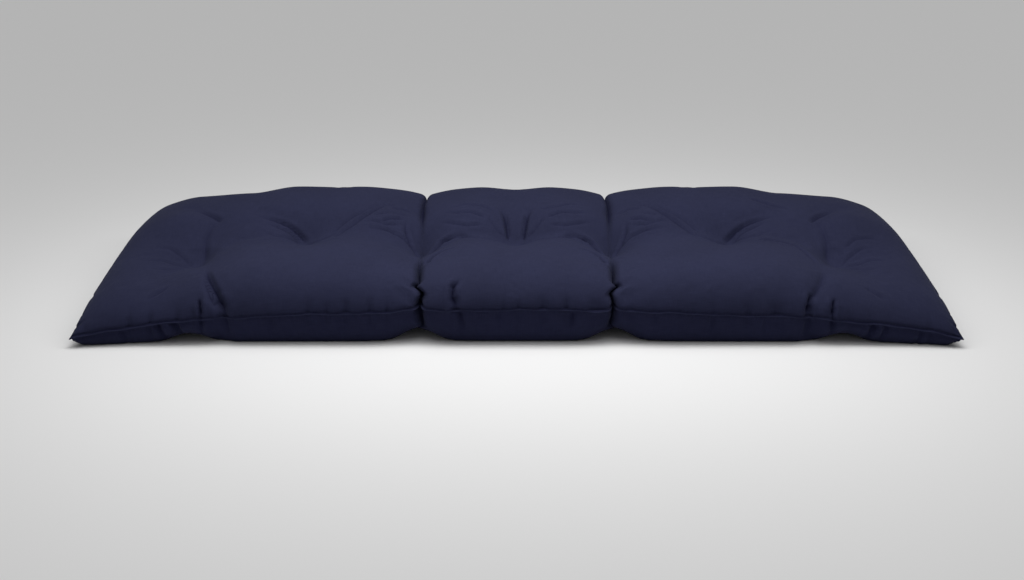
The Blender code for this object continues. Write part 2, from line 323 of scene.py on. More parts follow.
SEAM_LINE_AWAY = 0.0019   # the line of painted shade where the top panel turns in to the seam
SEAM_LINE = 0.0013
SEAM_LINE_PAINTED_SHADE = 0.60
STITCH_PITCH = 0.0032
STITCH_DEPTH = 0.0004

# The cloth: each TONE and ROUGHNESS goes from its first value to its second over the pattern's range
CLOTH_COLOUR = (0.0178, 0.0199, 0.0493)
PAINTED_SHADE_COLOUR = (0.0, 0.0, 0.0173)   # painted shade: in folds the light comes off the cloth itself, so blue is left
SPECULAR = 0.11
SHEEN_WEIGHT = 0.037
SHEEN_ROUGHNESS = 0.45
SHEEN_TINT = (0.55, 0.60, 0.85, 1.0)
WAVE_RANGE = (-1.0, 1.0)
NOISE_RANGE = (0.3, 0.7)  # nearly all of a noise lies in it
THREAD = 0.0009
THREAD_HEIGHT = 0.00012
THREAD_TONE = (0.90, 1.10)
SLUB_FINE = 700           # the noise's scale across the threads
SLUB_LONG = 45            # and along them
SLUB_HEIGHT = 0.00025
SLUB_TONE = (0.88, 1.13)
SLUB_ROUGHNESS = (0.92, 0.74)
CLOUD_SCALE = 9.0
CLOUD_TONE = (0.94, 1.06)
RUMPLE_SCALE = 38.0
RUMPLE_HEIGHT = 0.0016
SEAM_PATCH_SCALE = 30.0
SEAM_PATCH_RANGE = (0.35, 0.65)
SEAM_PATCH_STRENGTH = (0.3, 1.0)
MIX_FROM, MIX_TO, MIX_RESULT = 4, 5, 1   # places of a vector mix among the mix node's sockets

# The studio: soft light from all over the sky, and a low soft box over the front of the top
FLOOR_SIZE = 60
FLOOR_COLOUR = (0.80, 0.80, 0.80, 1.0)
FLOOR_ROUGHNESS = 0.9
FLOOR_SPECULAR = 0.1
CANOPY_PLACE = (0.05, 0.10, 1.6)
CANOPY_SOFTNESS = 60      # degrees
CANOPY_STRENGTH = 1.26
SOFTBOX_PLACE = (0.02, -0.16, 0.75)
SOFTBOX_SIZE = (1.4, 0.25)
SOFTBOX_POWER = 5.5
WORLD_COLOUR = (1.0, 1.0, 1.0, 1.0)
WORLD_BRIGHTNESS = 0.175

# The camera, placed as the photograph's was
PHOTO_WIDTH = 1024
SENSOR_WIDTH = 36.0
CAMERA_FOCAL_PX = 1186
CAMERA_PITCH = 22.65
CAMERA_PLACE = (-0.0074, -2.052, 0.852)


def bell(away, reach):
    """1 at the middle, fading smoothly to 0 a few reaches away."""
    return np.exp(-((away / reach) ** 2))


def rounded(away, reach, squareness):
    """0 at the edge, rising steeply at first, level at 1 from reach on."""
    left = 1 - np.clip(away / reach, 0, 1)
    return np.sqrt(1 - left**squareness)


def smooth_step(value, start, end):
    share = np.clip((value - start) / (end - start), 0, 1)
    return share * share * (3 - 2 * share)


def eased(value, ends, first, last):
    """From first to last as the value passes from one end to the other."""
    return first + smooth_step(value, *ends) * (last - first)


def along_table(x, table, column):
    """A column of a table whose first column is x, eased from row to row."""
    result = np.full_like(x, table[0][column])
    for row, following in zip(table, table[1:]):
        share = smooth_step(x, row[0], following[0])
        result = result + share * (following[column] - row[column])
    return result


def divider_x(t):
    jog = DIVIDER_JOG * (bell(t - JOG_PLACE, JOG_REACH) - bell(t - JOG_PLACE + 2 * JOG_REACH, JOG_REACH))
    return DIVIDER_X + DIVIDER_SPREAD * t + DIVIDER_BEND * smooth_step(t, *DIVIDER_BEND_OVER) + jog


def side_x(t):
    """Half of the rim's length at t, from -1 at the front edge to 1 at the back edge."""
    return HALF_LENGTH + EAR_LENGTH * np.abs(t) ** EAR_LENGTH_CURVE


def edge_y(s, x):
    """Half of the rim's depth at s, from 0 in the middle to 1 at the sides."""
    divider = SHOULDER_DRAW * bell(np.abs(x) - DIVIDER_X, SHOULDER_DRAW_REACH)
    return HALF_DEPTH + EAR_DEPTH * np.abs(s) ** EAR_DEPTH_CURVE - divider


def plan(s, t):
    """Where the panels' square, -1 to 1 both ways, lies seen from above."""
    share = np.abs(s)
    inner = share / DIVIDER_SHARE * divider_x(t)
    outer_share = (share - DIVIDER_SHARE) / (1 - DIVIDER_SHARE)
    outer = divider_x(t) + outer_share * (side_x(t) - divider_x(t))
    x = np.where(share <= DIVIDER_SHARE, inner, outer) * np.sign(s)
    return x, t * edge_y(s, x)


def rim_height(s, t):
    side = np.abs(s) ** RIM_SIDE_CURVE
    middle = RIM_RISE_MIDDLE * bell(s, RIM_MIDDLE_REACH)
    corner = np.abs(t) ** RIM_CORNER_CURVE
    return RIM_HEIGHT + middle - side * (RIM_DROP_SIDE + RIM_DROP_CORNER * corner)


def tuft_pull(x, y, column):
    """How far the tufts pull a panel in, from one column of their table."""
    pull = np.zeros_like(x)
    for tuft in TUFTS:
        away = np.hypot((np.abs(x) - tuft[0]) / tuft[4], (y - tuft[1]) / tuft[5])
        pull = np.maximum(pull, tuft[column] * np.exp(TUFT_BLUNT - np.hypot(away, TUFT_BLUNT)))
    return pull


def fold_depth(x, y):
    """How far the soft folds pull the top panel in."""
    depth = np.zeros_like(x)
    x = np.abs(x)
    for x_1, y_1, x_2, y_2, depth_1, depth_2, reach in FOLDS:
        length_2 = (x_2 - x_1) ** 2 + (y_2 - y_1) ** 2
        share = np.clip(((x - x_1) * (x_2 - x_1) + (y - y_1) * (y_2 - y_1)) / length_2, 0, 1)
        away = np.hypot(x - x_1 - share * (x_2 - x_1), y - y_1 - share * (y_2 - y_1))
        depth = np.maximum(depth, (depth_1 + share * (depth_2 - depth_1)) * bell(away, reach))
    return depth


def slit_depth(t, x):
    """How deep the divider's slit is cut in."""
    front = 1 - smooth_step(t, *SLIT_FRONT)
    back = SLIT_BACK_SHARE * smooth_step(t, *SLIT_BACK)
    from_divider = np.abs(np.abs(x) - divider_x(t))
    return SLIT_DEPTH * (front + back) * (1 - rounded(from_divider, SLIT_ROUND, ELLIPSE))


def slit_direction(t):
    """Which way the top panel's slit cuts in."""
    from_edge = HALF_DEPTH * (1 - np.abs(t))
    turn = np.clip(from_edge / SLIT_TURN, 0, 1) * np.pi / 2
    return np.stack([0 * t, -np.sign(t) * np.cos(turn), -np.sin(turn)], axis=-1)


def top_panel(s, t):
    x, y = plan(s, t)
    from_side = side_x(t) * (1 - np.abs(s))
    from_edge = edge_y(s, x) * (1 - np.abs(t))
    behind = smooth_step(y, *CROWN_CHANGE)
    front_crown = along_table(np.abs(x), CROWN, FRONT)
    back_crown = along_table(np.abs(x), CROWN, BACK)
    crown = front_crown + behind * (back_crown - front_crown)
    crown = crown - VALLEY_DEPTH * bell(y, VALLEY_REACH) * (1 - smooth_step(np.abs(x), *VALLEY_ENDS))
    from_divider = np.abs(np.abs(x) - divider_x(t))
    crown = crown - SHOULDER_DROP * (1 - rounded(from_divider, SHOULDER_REACH, ELLIPSE))
    crown = crown - tuft_pull(x, y, TOP_PULL)
    round_y = eased(t, TOP_ROUND_CHANGE, TOP_ROUND_FRONT, TOP_ROUND_BACK)
    round_x = eased(t, TOP_ROUND_SIDE_CHANGE, TOP_ROUND_SIDE_FRONT, TOP_ROUND_SIDE_BACK)
    rise = rounded(from_edge, round_y, TOP_SQUARENESS) * rounded(from_side, round_x, TOP_SQUARENESS)
    return np.stack([x, y, rim_height(s, t) + crown * rise], axis=-1)


def base_panel(s, t):
    x, y = plan(s, t)
    rim = rim_height(s, t)
    from_side = side_x(t) * (1 - np.abs(s))
    from_edge = edge_y(s, x) * (1 - np.abs(t))
    rise = rounded(from_edge, BASE_ROUND, ELLIPSE) * rounded(from_side, BASE_ROUND, ELLIPSE)
    lift = tuft_pull(x, y, BASE_PULL)
    for ridge_x, height, reach in BASE_RIDGES:
        lift = np.maximum(lift, height * bell(np.abs(x) - ridge_x - DIVIDER_SPREAD * t, reach))
    return np.stack([x, y, rim + (lift - rim - BASE_BELLY) * rise], axis=-1)


def inward(form, s, t):
    """Unit normals of a panel, pointing into the fill."""
    along = form(np.clip(s + NEAR, -1, 1), t) - form(np.clip(s - NEAR, -1, 1), t)
    across = form(s, np.clip(t + NEAR, -1, 1)) - form(s, np.clip(t - NEAR, -1, 1))
    normal = np.cross(along, across)
    length = np.linalg.norm(normal, axis=-1, keepdims=True)
    return -normal / np.maximum(length, TINY)


def shaped(s, t, top):
    """The panel's finished shape: its form with the folds and the slits drawn in."""
    if top:
        points = top_panel(s, t)
        normal = inward(top_panel, s, t)
    else:
        points = base_panel(s, t)
        normal = -inward(base_panel, s, t)
    x, y = points[..., 0], points[..., 1]
    normal[np.abs(s) > 1 - FLAT] = 0
    long_edge = np.abs(t) > 1 - FLAT
    normal[long_edge] = np.stack([0 * t, -np.sign(t), 0 * t], axis=-1)[long_edge]
    from_edge = HALF_DEPTH * (1 - np.abs(t))
    slit = slit_depth(t, x)
    fold = fold_depth(x, y)
    direction = slit_direction(t)
    if not top:
        share = eased(from_edge, (0, BASE_SLIT_REACH), 1, BASE_SLIT_SHARE) * bell(from_edge, BASE_ROUND)
        slit = slit * share
        fold = fold * share
        direction[..., 2] = -direction[..., 2]
    points = points + slit[..., None] * direction + fold[..., None] * normal
    points[points[..., 2] < PRESSED_FLAT, 2] = 0
    return points


def zone_places(zones, parts):
    """Where each line of the grid lies, from -1 to 1, each square cut into so many parts."""
    places = [0.0]
    for ends_at, squares in zones:
        start = places[-1]
        for number in range(1, squares * parts + 1):
            share = number / (squares * parts)
            if ends_at == zones[-1][0]:
                share = 1 - (1 - share) ** 2
            places.append(start + (ends_at / zones[-1][0] - start) * share)
    places[-1] = 1.0
    return np.array([-p for p in places[:0:-1]] + places)


def base_rows():
    """Where the bottom panel's rows lie: some of the top panel's fine ones, so that their ends meet."""
    steps = np.concatenate([[0], np.cumsum([step for step, rows in BASE_ROWS for _ in range(rows)])])
    fine = zone_places(ROW_ZONES, FINE)
    middle = len(fine) // 2
    return fine[np.concatenate([middle - steps[:0:-1], middle + steps])]


def grid_of(parts, rows):
    return np.meshgrid(zone_places(COLUMN_ZONES, parts), rows, indexing="ij")


def cut_lengths(points, share):
    """Flat positions of the cut cloth's grid lines, longer than most of the formed cloth's."""
    along = np.linalg.norm(np.diff(points, axis=0), axis=-1)
    across = np.linalg.norm(np.diff(points, axis=1), axis=-1)
    u = np.concatenate([[0], np.cumsum(np.quantile(along, share, axis=1))])
    v = np.concatenate([[0], np.cumsum(np.quantile(across, share, axis=0))])
    return u - u[-1] / 2, v - v[-1] / 2


def twice_as_fine(values, axis):
    """A grid of values with one more between each two, on a smooth curve through its neighbours."""
    v = np.moveaxis(values, axis, 0)
    padded = np.concatenate([2 * v[:1] - v[1:2], v, 2 * v[-1:] - v[-2:-1]])
    middles = (9 * (padded[1:-2] + padded[2:-1]) - padded[:-3] - padded[3:]) / 16
    result = np.empty((2 * len(v) - 1,) + v.shape[1:])
    result[::2] = v
    result[1::2] = middles
    return np.moveaxis(result, 0, axis)


def quad_faces(nx, ny, first, flip):
    i, j = np.meshgrid(np.arange(nx - 1), np.arange(ny - 1), indexing="ij")
    a = first + i * ny + j
    b, c, d = a + ny, a + ny + 1, a + 1
    return np.stack([a, d, c, b] if flip else [a, b, c, d], axis=-1).reshape(-1, 4)


def grids_mesh(name, grids):
    """One mesh of several grids of points, with where each point lies on the cut cloth, in metres."""
    verts = np.concatenate([points.reshape(-1, 3) for points, cut, flip in grids])
    cut = np.concatenate([cut.reshape(-1, 2) for points, cut, flip in grids])
    faces = []
    first = 0
    for points, _, flip in grids:
        nx, ny = points.shape[:2]
        faces.append(quad_faces(nx, ny, first, flip))
        first += nx * ny
    mesh = bpy.data.meshes.new(name)
    mesh.from_pydata(verts.tolist(), [], np.concatenate(faces).tolist())
    layer = mesh.uv_layers.new(name="cut_panel")
    loops = np.empty(len(mesh.loops), dtype=np.int32)
    mesh.loops.foreach_get("vertex_index", loops)
    layer.data.foreach_set("uv", cut[loops].ravel())
    return mesh


def capped(moves, most):
    """Moves that never reach the given length, and small ones hardly changed."""
    length = np.linalg.norm(moves, axis=-1, keepdims=True)
    return moves / np.sqrt(1 + (length / most) ** 2)


def held_weights(s, t, points):
    """How firmly each point of the top panel is held while the cloth settles: 1 at seams and tufts."""
    x, y = points[..., 0], points[..., 1]
    held = np.full_like(x, SOFT_HOLD)
    for tuft in TUFTS:
        away = np.hypot(np.abs(x) - tuft[0], y - tuft[1])
        held = np.where(away < TUFT_HOLD, 1.0, held)
    on_divider = np.abs(np.abs(s) - DIVIDER_SHARE) < ON_LINE
    in_slit = (t < SLIT_FRONT[1]) | (t > SLIT_BACK[0])
    held = np.where(on_divider & in_slit, 1.0, held)
    return np.where(np.maximum(np.abs(s), np.abs(t)) > 1 - FLAT, 1.0, held)


def settle_cloth(s, t, top, base, u, v):
    """How far each point of the top panel moves when its cloth, cut flat, is filled and let go."""
    flat_u, flat_v = np.meshgrid(u, v, indexing="ij")
    uv = np.stack([flat_u, flat_v], axis=-1)
    mesh = grids_mesh("cloth_trial", [(top, uv, False), (base, base[..., :2], True)])
    obj = bpy.data.objects.new("cloth_trial", mesh)
    bpy.context.scene.collection.objects.link(obj)
    count = top.shape[0] * top.shape[1]
    held = held_weights(s, t, top).ravel()
    group = obj.vertex_groups.new(name="held")
    group.add(list(range(count, len(mesh.vertices))), 1.0, "REPLACE")
    for weight in np.unique(held):
        group.add(np.nonzero(held == weight)[0].tolist(), float(weight), "REPLACE")
    obj.shape_key_add(name="filled")
    cut = obj.shape_key_add(name="cut_flat")
    flat_top = np.concatenate([uv, 0 * uv[..., :1]], axis=-1)
    flat = np.concatenate([flat_top.reshape(-1, 3), base.reshape(-1, 3)])
    cut.data.foreach_set("co", flat.ravel())
    cloth = obj.modifiers.new("cloth", "CLOTH")
    settings = cloth.settings
    settings.vertex_group_mass = "held"
    settings.rest_shape_key = cut
    for setting, value in CLOTH_SETTINGS.items():
        setattr(settings, setting, value)
    settings.effector_weights.gravity = 0
    cloth.collision_settings.use_collision = False
    cloth.collision_settings.use_self_collision = False
    cloth.point_cache.frame_start = 1
    cloth.point_cache.frame_end = CLOTH_FRAMES
    scene = bpy.context.scene
    for number in range(1, CLOTH_FRAMES + 1):
        scene.frame_set(number)
    settled = obj.evaluated_get(bpy.context.evaluated_depsgraph_get())
    where = np.empty(len(mesh.vertices) * 3)
    settled.data.vertices.foreach_get("co", where)
    scene.frame_set(1)
    bpy.data.objects.remove(obj)
    bpy.data.meshes.remove(mesh)
    return capped(where.reshape(-1, 3)[:count].reshape(top.shape) - top, CLOTH_CAP)


def grid_normals(points):
    """Unit normals of a grid of points, upwards on the top panel."""
    along = np.gradient(points, axis=0)
    across = np.gradient(points, axis=1)
    normal = np.cross(along, across)
    return normal / np.maximum(np.linalg.norm(normal, axis=-1, keepdims=True), TINY)


def crease_profile(off_line, wide):
    """A crease's cross-section: 1 at the bottom, with a low lip on each side."""
    lips = LIP_SHARE * bell(np.abs(off_line) - LIP_AWAY * wide, LIP_WIDE * wide)
    return bell(off_line, wide) - lips


def press_creases(points, flat_x, flat_y):
    """Presses the table's creases into the cloth, and tells where their lines run."""
    depth = np.zeros(points.shape[:2])
    away = np.full_like(depth, FAR)
    sharp = np.zeros_like(depth)
    second = np.zeros_like(depth)
    for side, wide, deep, route in CREASES:
        for mirror in (-1, 1) if side == 0 else (side,):
            off_line, strength = beside_route(flat_x * mirror, flat_y, route)
            depth = depth + deep * strength * crease_profile(off_line, wide)
            line = strength * np.minimum(deep / DEEPEST_CREASE, 1) ** CREASE_LINE_FADE
            line = line * (1 - smooth_step(np.abs(off_line), wide, CREASE_LINE_REACH))
            away = np.where(line > sharp, off_line, away)
            second = np.maximum(second, np.minimum(line, sharp))
            sharp = np.maximum(sharp, line)
    return points - depth[..., None] * grid_normals(points), depth, away, sharp - second


def press_base_creases(points):
    """Presses the front folds of the bottom panel, from the seam down to where it lies flat."""
    from_rim = np.cumsum(np.linalg.norm(np.diff(points, axis=1, prepend=points[:, :1]), axis=-1), axis=1)
    share = np.clip(from_rim / BASE_CREASE_REACH, 0, 1)
    depth = np.zeros_like(from_rim)
    for x, lean, wide, deep in BASE_CREASES:
        away = np.abs(points[..., 0] - x - lean * share)
        depth = depth + deep * (1 - share) * crease_profile(away, wide)
    depth = depth * smooth_step(from_rim, 0, GROOVE_AWAY)
    return points + depth[..., None] * grid_normals(points), depth


def beside_route(x, y, route):
    """How far each point lies off a crease's route, left or right, and how strong the crease is there.

    A crease is strongest near its start and fades at both ends.
    """
    lengths = [math.dist(a, b) for a, b in zip(route, route[1:])]
    total = sum(lengths)
    off_line = np.full_like(x, FAR)
    way = np.zeros_like(x)
    done = 0
    for (x_1, y_1), (x_2, y_2), length in zip(route, route[1:], lengths):
        share = np.clip(((x - x_1) * (x_2 - x_1) + (y - y_1) * (y_2 - y_1)) / length**2, 0, 1)
        away = np.hypot(x - x_1 - share * (x_2 - x_1), y - y_1 - share * (y_2 - y_1))
        hand = np.sign((x - x_1) * (y_2 - y_1) - (y - y_1) * (x_2 - x_1))
        closer = away < np.abs(off_line)
        off_line = np.where(closer, away * hand, off_line)
        way = np.where(closer, (done + share * length) / total, way)
        done = done + length
    strength = np.minimum(way / CREASE_GROWTH + CREASE_START, (1 - way) / CREASE_FADE)
    return off_line, np.clip(strength, 0, 1)


def from_ends(points, axis):
    """How far each point lies from the nearer end of its grid line, along the cloth."""
    steps = np.linalg.norm(np.diff(points, axis=axis), axis=-1)
    start = np.zeros_like(np.take(steps, [0], axis=axis))
    done = np.concatenate([start, np.cumsum(steps, axis=axis)], axis=axis)
    return np.minimum(done, np.take(done, [-1], axis=axis) - done)


def waves_along(along, waves):
    """A sum of sine waves along the seam."""
    return sum(height * np.sin(along * turns + start) for height, turns, start in waves)


def gather_at_seam(points, sign):
    """Draws in a groove beside the rim seam, and the puckers that its stitches gather.

    It also gives each point's distance from the seam and its place along it.
    """
    from_side = from_ends(points, 0)
    from_edge = from_ends(points, 1)
    from_rim = np.minimum(from_side, from_edge)
    along = np.where(from_edge < from_side, points[..., 0], points[..., 1])
    waves = np.sin(along * 2 * np.pi / PUCKER_PITCH + waves_along(along, PUCKER_DRIFT))
    crests = np.clip((waves - PUCKER_FROM) / (1 - PUCKER_FROM), 0, 1)
    patches = np.sin(along * PUCKER_PATCH + PUCKER_PATCH_START) ** 2
    uneven = PUCKER_LEAST + (1 - PUCKER_LEAST) * patches
    pucker = PUCKER_DEPTH * uneven * crests * bell(from_rim - PUCKER_AWAY, PUCKER_REACH)
    groove = GROOVE_DEPTH * bell(from_rim - GROOVE_AWAY, GROOVE_WIDE)
    inwards = (groove + pucker) * smooth_step(from_rim, 0, GROOVE_AWAY)
    points = points - sign * inwards[..., None] * grid_normals(points)
    points[..., 2] += RIM_WOBBLE * waves_along(along, RIM_WAVES) * bell(from_rim, WOBBLE_REACH)
    return points, from_rim, along


def seam_ridge(top):
    """The turned seam's thin ridge: a grid of points round a line that runs along the whole rim."""
    line = np.concatenate([top[:-1, 0], top[-1, :-1], top[:0:-1, -1], top[0, :0:-1]])
    heading = np.roll(line, -1, axis=0) - np.roll(line, 1, axis=0)
    heading[:, 2] = 0
    heading = heading / np.linalg.norm(heading, axis=1, keepdims=True)
    outwards = np.stack([heading[:, 1], -heading[:, 0], 0 * heading[:, 0]], axis=-1)
    turn = np.linspace(0, 2 * np.pi, RIDGE_SIDES + 1)[None, :, None]
    up = np.array([0, 0, 1])
    points = line[:, None] + RIDGE_RADIUS * (np.cos(turn) * outwards[:, None] + np.sin(turn) * up)
    points = np.concatenate([points, points[:1]])
    steps = np.linalg.norm(np.diff(points[:, 0], axis=0), axis=-1)
    lengths = np.concatenate([[0], np.cumsum(steps)])
    cut = np.stack(np.broadcast_arrays(lengths[:, None], RIDGE_RADIUS * turn[..., 0]), axis=-1)
    return points, cut


def node(tree, kind, **values):
    """A shader node with values set on its named sockets; an underscore stands for a space."""
    made = tree.nodes.new(kind)
    for key, value in values.items():
        if hasattr(made, key):
            setattr(made, key, value)
        else:
            socket = made.inputs[key.replace("_", " ")]
            if isinstance(value, bpy.types.NodeSocket):
                tree.links.new(value, socket)
            else:
                socket.default_value = value
    return made


def math_of(tree, operation, a, b=None):
    made = tree.nodes.new("ShaderNodeMath")
    made.operation = operation
    for place, value in enumerate([a] if b is None else [a, b]):
        if isinstance(value, bpy.types.NodeSocket):
            tree.links.new(value, made.inputs[place])
        else:
            made.inputs[place].default_value = value
    return made.outputs[0]


def stretched(tree, coords, scale):
    return node(tree, "ShaderNodeMapping", Vector=coords, Scale=scale).outputs[0]


def noise(tree, coords, scale, detail=2.0, rough=0.5):
    made = node(tree, "ShaderNodeTexNoise", Vector=coords, Scale=scale, Detail=detail, Roughness=rough)
    return made.outputs["Fac"]


def noted(tree, name):
    """A number that the mesh keeps for each of its points."""
    return node(tree, "ShaderNodeAttribute", attribute_name=name).outputs["Fac"]


def ranged(tree, value, ends, results, kind="LINEAR"):
    """From one result to the other as the value passes from one end to the other."""
    made = node(tree, "ShaderNodeMapRange", interpolation_type=kind, Value=value,
                From_Min=ends[0], From_Max=ends[1], To_Min=results[0], To_Max=results[1])
    return made.outputs[0]


def near_line(tree, away, half_width):
    """1 on a line, smoothly down to 0 at half its width away from it."""
    distance = math_of(tree, "ABSOLUTE", away)
    return ranged(tree, distance, (0.0, half_width), (1.0, 0.0), kind="SMOOTHSTEP")


def crease_line(tree):
    """The narrow line at the bottom of each crease, painted as shade in the colour and pressed in as a bump.
    """
    line = near_line(tree, noted(tree, "crease_away"), CREASE_LINE)
    return math_of(tree, "MULTIPLY", line, noted(tree, "crease_sharp"))


def seam_line(tree, panel):
    """The broken line of painted shade where the top panel turns in to the rim seam."""
    away = math_of(tree, "SUBTRACT", noted(tree, "seam_away"), SEAM_LINE_AWAY)
    patches = noise(tree, panel, SEAM_PATCH_SCALE)
    uneven = ranged(tree, patches, SEAM_PATCH_RANGE, SEAM_PATCH_STRENGTH)
    return math_of(tree, "MULTIPLY", near_line(tree, away, SEAM_LINE), uneven)


def stitches(tree, seam):
    """A row of small dents along the seam line, one for each stitch."""
    turn = math_of(tree, "MULTIPLY", noted(tree, "seam_along"), 2 * math.pi / STITCH_PITCH)
    dent = ranged(tree, math_of(tree, "COSINE", turn), WAVE_RANGE, (0.0, 1.0))
    return math_of(tree, "MULTIPLY", seam, dent)


def darkened(tree, amount, most):
    """What is left of the light where a line's painted shade takes up to the given share of it."""
    return math_of(tree, "SUBTRACT", 1.0, math_of(tree, "MULTIPLY", amount, most))


def weave_pattern(tree, panel):
    """The crossing threads, as two waves of one thread's width."""
    apart = node(tree, "ShaderNodeSeparateXYZ", Vector=panel)
    warp = math_of(tree, "COSINE", math_of(tree, "MULTIPLY", apart.outputs[0], math.pi / THREAD))
    weft = math_of(tree, "COSINE", math_of(tree, "MULTIPLY", apart.outputs[1], math.pi / THREAD))
    return math_of(tree, "MULTIPLY", warp, weft)


def slub_pattern(tree, panel):
    """Thin long streaks along the threads, both ways."""
    warp = noise(tree, stretched(tree, panel, (SLUB_FINE, SLUB_LONG, 1)), 1.0, detail=3.0)
    weft = noise(tree, stretched(tree, panel, (SLUB_LONG, SLUB_FINE, 1)), 1.0, detail=3.0)
    return math_of(tree, "MULTIPLY", math_of(tree, "ADD", warp, weft), 0.5)


def cloth_colour(tree, panel, weave, slubs, crease, seam):
    """The cloth's colour, uneven in the threads, with painted shade, darker and bluer, where folds keep the
    light out.
    """
    tone = ranged(tree, slubs, NOISE_RANGE, SLUB_TONE)
    cloudy = ranged(tree, noise(tree, panel, CLOUD_SCALE, detail=3.0), NOISE_RANGE, CLOUD_TONE)
    crossing = ranged(tree, weave, WAVE_RANGE, THREAD_TONE)
    strength = math_of(tree, "MULTIPLY", tone, math_of(tree, "MULTIPLY", cloudy, crossing))
    # painted shade: the colour darkens and turns bluer in creases, slits, at the seam, on the bottom panel
    # and along the crease and seam lines
    light = math_of(tree, "SUBTRACT", 1.0, noted(tree, "painted_shade"))
    light = math_of(tree, "MULTIPLY", light, darkened(tree, crease, CREASE_LINE_PAINTED_SHADE))
    light = math_of(tree, "MULTIPLY", light, darkened(tree, seam, SEAM_LINE_PAINTED_SHADE))
    shade = node(tree, "ShaderNodeMix", data_type="VECTOR", Factor=light)
    shade.inputs[MIX_FROM].default_value = PAINTED_SHADE_COLOUR
    shade.inputs[MIX_TO].default_value = CLOTH_COLOUR
    colour = tree.nodes.new("ShaderNodeVectorMath")
    colour.operation = "SCALE"
    tree.links.new(shade.outputs[MIX_RESULT], colour.inputs[0])
    tree.links.new(strength, colour.inputs["Scale"])
    return colour.outputs[0]


def cloth_normal(tree, panel, weave, slubs, crease, stitched):
    """The surface's small relief: rumples, threads and slubs raised, crease lines and stitches pressed in."""
    relief = (
        (noise(tree, panel, RUMPLE_SCALE, rough=0.4), RUMPLE_HEIGHT, False),
        (weave, THREAD_HEIGHT, False),
        (slubs, SLUB_HEIGHT, False),
        (math_of(tree, "ADD", crease, stitched), CREASE_LINE_DEPTH, True),
    )
    normal = None
    for height, most, pressed_in in relief:
        bump = node(tree, "ShaderNodeBump", invert=pressed_in, Strength=1.0, Distance=most, Height=height)
        if normal is not None:
            tree.links.new(normal, bump.inputs["Normal"])
        normal = bump.outputs[0]
    return normal


def cloth_material():
    """Plain-woven navy polyester: threads, slubs along them, a faint cloudiness and a soft sheen."""
    material = bpy.data.materials.new("navy_weave")
    material.use_nodes = True
    tree = material.node_tree
    shader = tree.nodes["Principled BSDF"]
    panel = node(tree, "ShaderNodeUVMap", uv_map="cut_panel").outputs[0]
    weave = weave_pattern(tree, panel)
    slubs = slub_pattern(tree, panel)
    crease = crease_line(tree)
    seam = seam_line(tree, panel)
    stitched = math_of(tree, "MULTIPLY", stitches(tree, seam), STITCH_DEPTH / CREASE_LINE_DEPTH)
    colour = cloth_colour(tree, panel, weave, slubs, crease, seam)
    roughness = ranged(tree, slubs, NOISE_RANGE, SLUB_ROUGHNESS)
    normal = cloth_normal(tree, panel, weave, slubs, crease, stitched)
    tree.links.new(colour, shader.inputs["Base Color"])
    tree.links.new(roughness, shader.inputs["Roughness"])
    tree.links.new(normal, shader.inputs["Normal"])
    shader.inputs["Specular IOR Level"].default_value = SPECULAR
    shader.inputs["Sheen Weight"].default_value = SHEEN_WEIGHT
    shader.inputs["Sheen Roughness"].default_value = SHEEN_ROUGHNESS
    shader.inputs["Sheen Tint"].default_value = SHEEN_TINT
    return material


def slit_shade(t, x):
    """How much shade is painted in a divider's slit, where it keeps the light out, from 0 outside it to 1."""
    front = SLIT_SHADE_FRONT * (1 - smooth_step(t, *SLIT_FRONT))
    back = SLIT_SHADE_BACK * smooth_step(t, *SLIT_SHADE_OVER)
    from_divider = np.abs(np.abs(x) - divider_x(t))
    return np.clip((front + back) * (1 - rounded(from_divider, SLIT_ROUND, ELLIPSE)), 0, 1)


def top_shade(t, plan_x, depth, from_seam):
    """The painted shade of the top panel: how much of the light it loses in creases, in slits and at the
    seam.
    """
    dark = np.clip(depth / CAVITY_DEPTH, 0, 1) * CREASE_PAINTED_SHADE
    dark = np.maximum(dark, RIM_PAINTED_SHADE * bell(from_seam, RIM_DARK_REACH))
    return np.maximum(dark, SLIT_PAINTED_SHADE * slit_shade(t, plan_x))


def base_shade(t, plan_x, depth):
    """The painted shade of the bottom panel: how much of the light it loses, most of it to the cushion above.
    """
    dark = BASE_PAINTED_SHADE + np.clip(depth / CAVITY_DEPTH, 0, 1) * CREASE_PAINTED_SHADE * (1 - BASE_PAINTED_SHADE)
    return np.maximum(dark, SLIT_PAINTED_SHADE * slit_shade(t, plan_x))


def note_points(mesh, name, values, elsewhere):
    """Keeps a number for each point of the mesh's first grids, for the material to read."""
    numbers = np.concatenate([part.ravel() for part in values])
    everywhere = np.full(len(mesh.vertices), elsewhere)
    everywhere[: len(numbers)] = numbers
    mesh.attributes.new(name, "FLOAT", "POINT").data.foreach_set("value", everywhere)


def match_ends(bm):
    """Gives the bottom panel's open edges along both ends the points that the top panel has there."""
    open_edges = [edge for edge in bm.edges if edge.is_boundary]
    ends = {vert for edge in open_edges for vert in edge.verts}
    for edge in open_edges:
        start, finish = sorted(edge.verts, key=lambda vert: vert.co.y)
        between = [vert.co.copy() for vert in ends
                   if vert.co.x * start.co.x > 0 and start.co.y < vert.co.y < finish.co.y]
        for place in sorted(between, key=lambda co: co.y):
            share = (place.y - start.co.y) / (finish.co.y - start.co.y)
            _, added = bmesh.utils.edge_split(edge, start, share)
            added.co = place
            edge = next(part for part in added.link_edges if finish in part.verts)
            start = added


def weld(mesh):
    """Joins the mesh's grids where their edges meet."""
    bm = bmesh.new()
    bm.from_mesh(mesh)
    bmesh.ops.remove_doubles(bm, verts=bm.verts, dist=WELD)
    match_ends(bm)
    bmesh.ops.remove_doubles(bm, verts=bm.verts, dist=WELD)
    bm.to_mesh(mesh)
    bm.free()


